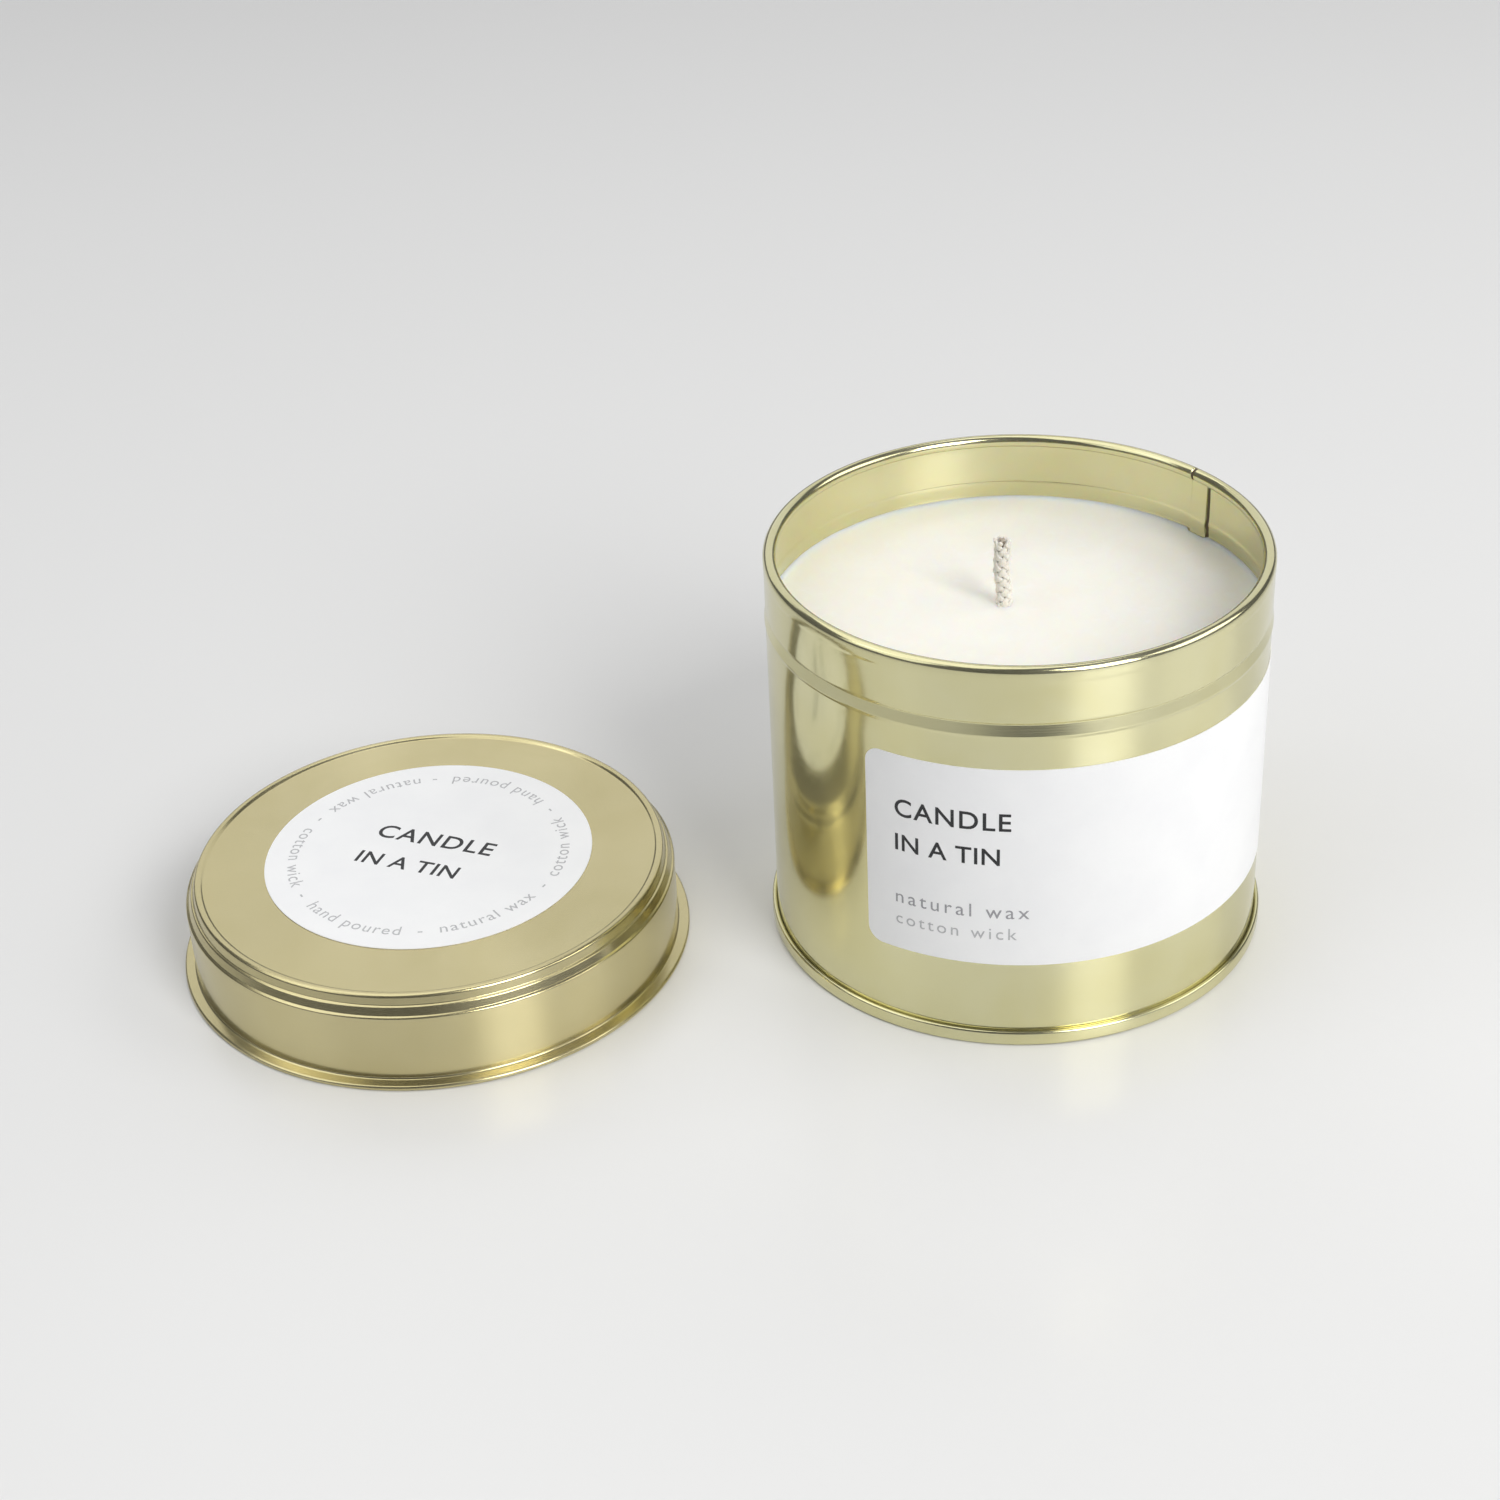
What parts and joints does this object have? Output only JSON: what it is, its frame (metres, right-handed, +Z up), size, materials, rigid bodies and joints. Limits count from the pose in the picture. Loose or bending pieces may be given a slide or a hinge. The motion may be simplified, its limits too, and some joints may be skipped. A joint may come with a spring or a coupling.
{
  "type": "candle tin",
  "caption": "Round gold tinplate candle tin with a seamed base, curled rim, poured wax, braided wick and paper labels, beside its lift-off slip lid.",
  "frame": {"origin": "centre of the tin's base, on the surface it stands on", "axes": "+Z up along the tin's axis, +X from the lid's side to the tin's side, -Y towards the front of the wall label"},
  "size_m": [0.1741, 0.0822, 0.0653],
  "materials": {
    "gold_tinplate": "bright tinplate under a transparent pale gold lacquer",
    "satin_gold_tinplate": "satin tinplate under a transparent pale gold lacquer",
    "sealing_rubber": "cured can-end sealing compound",
    "label_paper": "matt coated white paper, self-adhesive, printed in black and grey",
    "ivory_wax": "poured plant wax, soft satin and slightly translucent",
    "adhesive_pad": "double-sided foam adhesive",
    "bare_tinplate": "pressed bare tinplate",
    "wick_cotton": "plaited unbleached cotton, waxed",
    "wick_paper": "twisted paper filament"
  },
  "bodies": {
    "tin": {"body_wall": "gold_tinplate", "base_plate": "gold_tinplate", "base_seam_compound": "sealing_rubber", "front_label": "label_paper", "wax_fill": "ivory_wax", "wick_sticker": "adhesive_pad", "wick_sustainer": "bare_tinplate", "wick_braid": "wick_cotton", "wick_core": "wick_paper"},
    "lid": {"lid_shell": "satin_gold_tinplate", "lid_label": "label_paper"}
  },
  "joints": [
    {"name": "lid_lift", "type": "slide", "parent": "tin", "child": "lid", "axis": [0, 0, 1], "range_m": [0, 0.1]}
  ]
}
